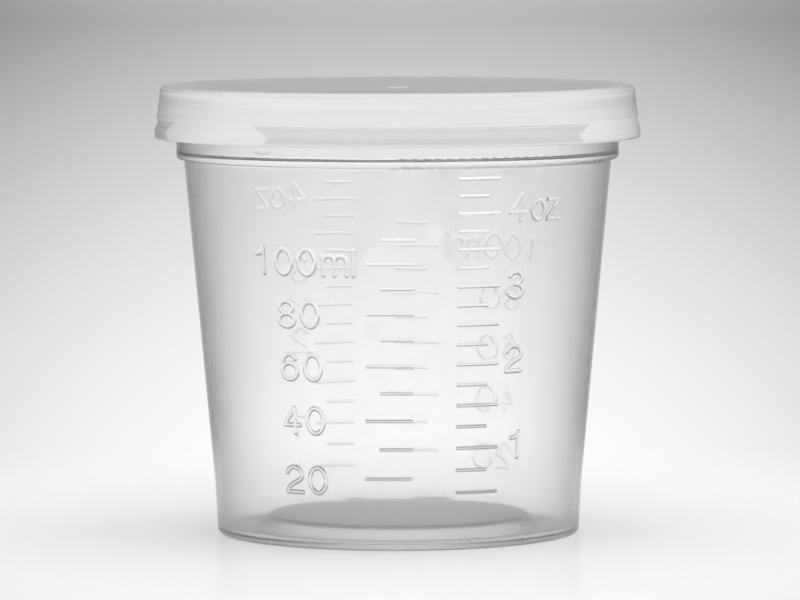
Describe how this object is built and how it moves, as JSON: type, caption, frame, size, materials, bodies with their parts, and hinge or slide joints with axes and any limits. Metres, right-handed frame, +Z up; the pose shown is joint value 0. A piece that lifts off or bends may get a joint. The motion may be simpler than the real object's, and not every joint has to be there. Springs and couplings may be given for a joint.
{
  "type": "specimen container",
  "caption": "Graduated tapered plastic specimen cup with a stepped neck, a raised base centre and a press-on lid with lift tabs.",
  "frame": {"origin": "centre of the ring that the cup stands on", "axes": "+Z up along the axis of the cup and lid, the front graduations face -Y"},
  "size_m": [0.0728, 0.0729, 0.0673],
  "materials": {
    "cup_plastic": "natural translucent polypropylene, moulded with a fine satin surface",
    "lid_plastic": "natural translucent low-density polyethylene, softer and milkier than the cup"
  },
  "bodies": {
    "cup": {"cup": "cup_plastic"},
    "lid": {"lid": "lid_plastic"}
  },
  "joints": [
    {"name": "lid_lift", "type": "slide", "parent": "cup", "child": "lid", "axis": [0, 0, 1], "range_m": [0, 0.015]}
  ]
}
